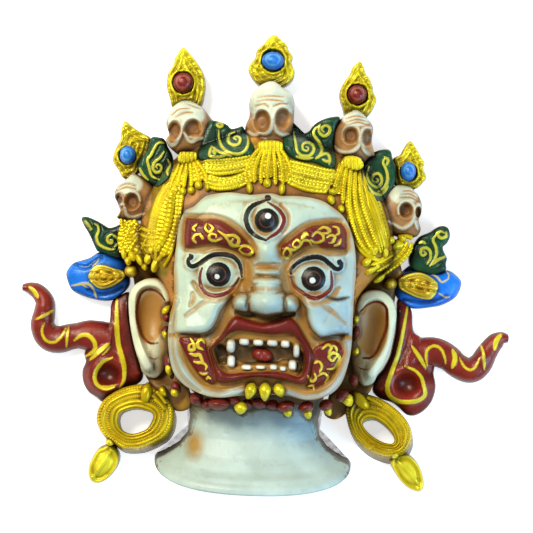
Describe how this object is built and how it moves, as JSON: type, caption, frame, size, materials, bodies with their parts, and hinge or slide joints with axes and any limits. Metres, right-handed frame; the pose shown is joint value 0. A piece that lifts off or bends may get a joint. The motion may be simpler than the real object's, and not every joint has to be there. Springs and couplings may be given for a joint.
{
  "type": "clay mask",
  "caption": "Hollow-backed painted clay mask of a wrathful three-eyed guardian with a skull crown, ring earrings, scarves and a flared neck.",
  "frame": {"origin": "centre of the bounding box at the flat back plane on which the mask lies", "axes": "+X to the viewer's right across the face, +Y up to the crown, +Z out of the face"},
  "size_m": [0.3029, 0.2798, 0.073],
  "materials": {
    "painted_clay": "satin off-white paint over cast clay, with an ochre wash in the hollows",
    "gold_paint": "yellow gold paint over cast clay",
    "red_paint": "satin dark red paint over cast clay",
    "green_paint": "satin dark green paint over cast clay",
    "blue_paint": "satin sky blue paint over cast clay",
    "skull_paint": "flesh brown wash with white edges over cast clay"
  },
  "bodies": {
    "root": {"mask": "painted_clay"}
  },
  "joints": []
}
